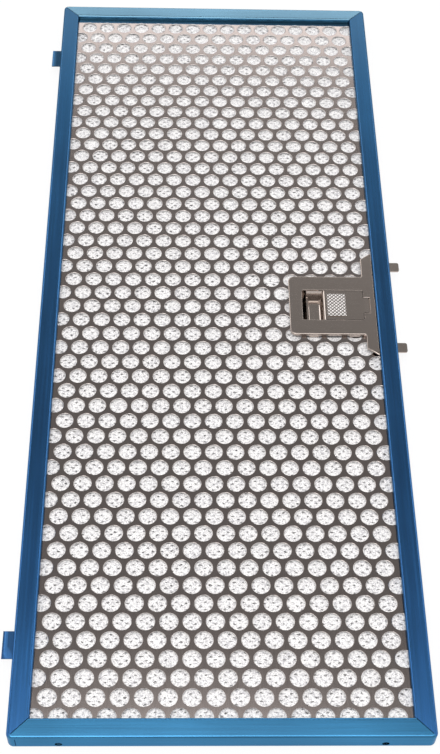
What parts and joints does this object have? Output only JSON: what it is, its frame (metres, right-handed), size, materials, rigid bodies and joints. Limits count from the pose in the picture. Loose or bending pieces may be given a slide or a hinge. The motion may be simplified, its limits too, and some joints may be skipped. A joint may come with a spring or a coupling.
{
  "type": "cooker hood grease filter",
  "caption": "Flat rectangular grease filter cassette: folded blue frame, perforated sheets, expanded metal filling, locating lugs and a sprung finger latch whose bolts stand out of one long side.",
  "frame": {"origin": "middle of the back, on the surface that the cassette lies on", "axes": "+Z out of the front face, +X towards the latch side, +Y along the long side"},
  "size_m": [0.1856, 0.45, 0.0094],
  "materials": {
    "frame_blue": "sheet metal with a blue film, streaked along the strip",
    "sheet_steel": "mill finish stainless steel, punched",
    "mesh_aluminium": "bright expanded aluminium",
    "latch_steel": "brushed stainless steel, pressed",
    "spring_steel": "drawn spring wire"
  },
  "bodies": {
    "cassette": {"frame": "frame_blue", "rear_sheet": "sheet_steel", "mesh_layer_1": "mesh_aluminium", "mesh_layer_2": "mesh_aluminium", "mesh_layer_3": "mesh_aluminium", "mesh_layer_4": "mesh_aluminium", "mesh_layer_5": "mesh_aluminium", "front_sheet": "sheet_steel", "latch_plate": "latch_steel", "latch_tray": "latch_steel", "latch_spring_far": "spring_steel", "latch_spring_near": "spring_steel"},
    "slider": {"latch_slider": "latch_steel"}
  },
  "joints": [
    {"name": "latch_slide", "type": "slide", "parent": "cassette", "child": "slider", "axis": [-1, 0, 0], "range_m": [0, 0.005], "stiffness_N_per_m": 250, "springref_m": -0.006, "deforming": ["latch_spring_far", "latch_spring_near"]}
  ]
}
